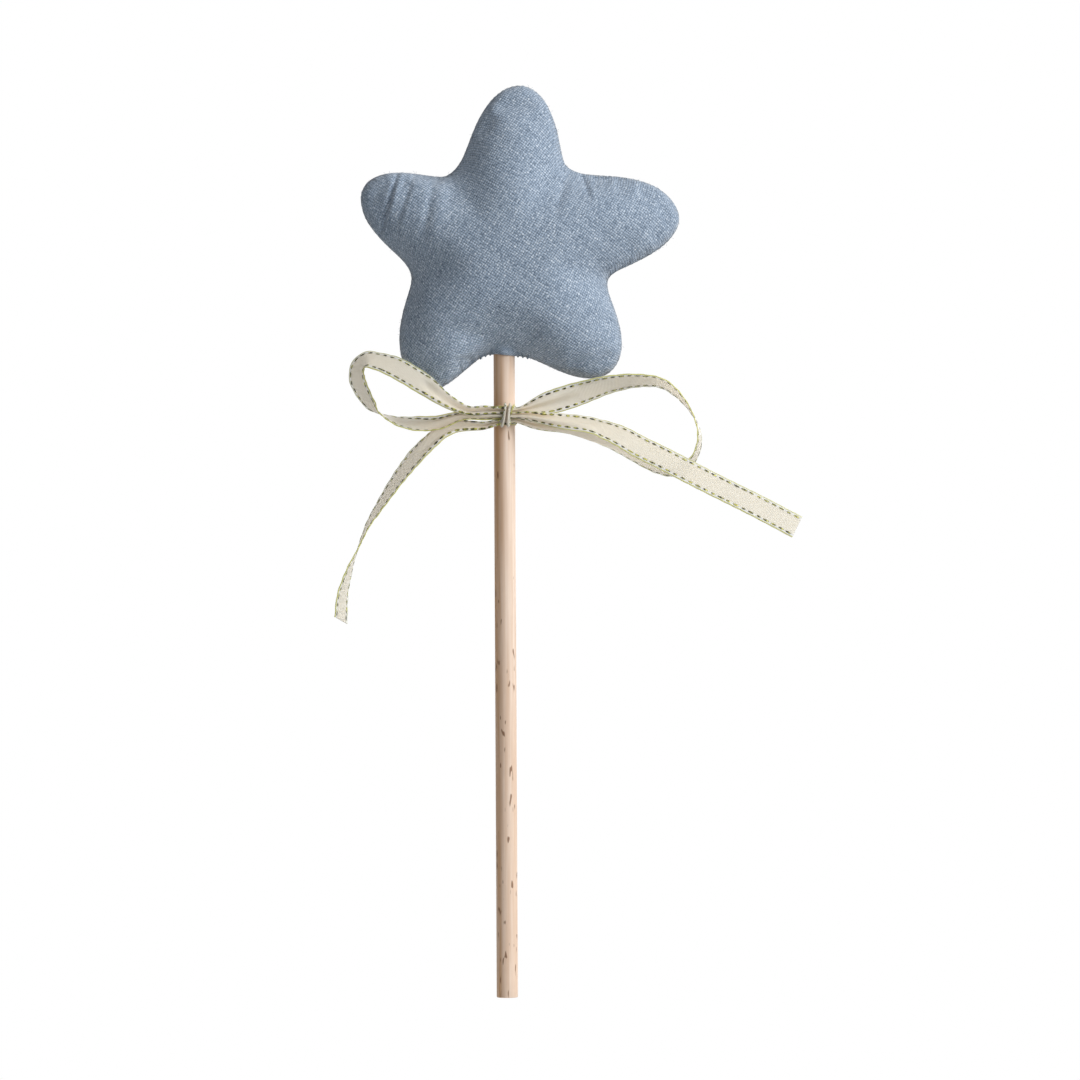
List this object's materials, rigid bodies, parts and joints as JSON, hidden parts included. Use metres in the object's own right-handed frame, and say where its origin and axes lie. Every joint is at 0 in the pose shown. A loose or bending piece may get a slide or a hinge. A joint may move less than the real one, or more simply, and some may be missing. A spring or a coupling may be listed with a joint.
{
  "type": "toy magic wand",
  "caption": "Toy magic wand: a stuffed linen star on a round beech dowel, with a ribbon bow tied round the dowel under the star.",
  "frame": {"origin": "centre of the dowel's sawn foot, where the hand's end of the wand is", "axes": "+Z along the dowel to the star, -Y out of the star's front face, +X to the right in the front view"},
  "size_m": [0.175, 0.036, 0.3418],
  "materials": {
    "beech": "sanded, unvarnished",
    "linen": "plain weave, melange",
    "filling": "loose polyester fibre",
    "thread": "spun sewing thread",
    "glue": "set glue",
    "ribbon": "woven, with stitched metallic edges"
  },
  "bodies": {
    "wand": {"dowel": "beech", "glue_drop": "glue", "star_front_panel": "linen", "star_back_panel": "linen", "stuffing": "filling", "seam_thread": "thread", "closing_stitches": "thread"},
    "band": {"ribbon_wrap": "ribbon"},
    "bow": {"ribbon_knot": "ribbon", "left_loop": "ribbon", "right_loop": "ribbon", "left_tail": "ribbon", "right_tail": "ribbon"}
  },
  "joints": [
    {"name": "bow_slide", "type": "slide", "parent": "wand", "child": "band", "axis": [0, 0, 1], "range_m": [-0.2, 0]},
    {"name": "bow_turn", "type": "hinge", "parent": "band", "child": "bow", "pos_m": [0, 0, 0.2181], "axis": [0, 0, 1], "range_deg": [0, 130]}
  ]
}
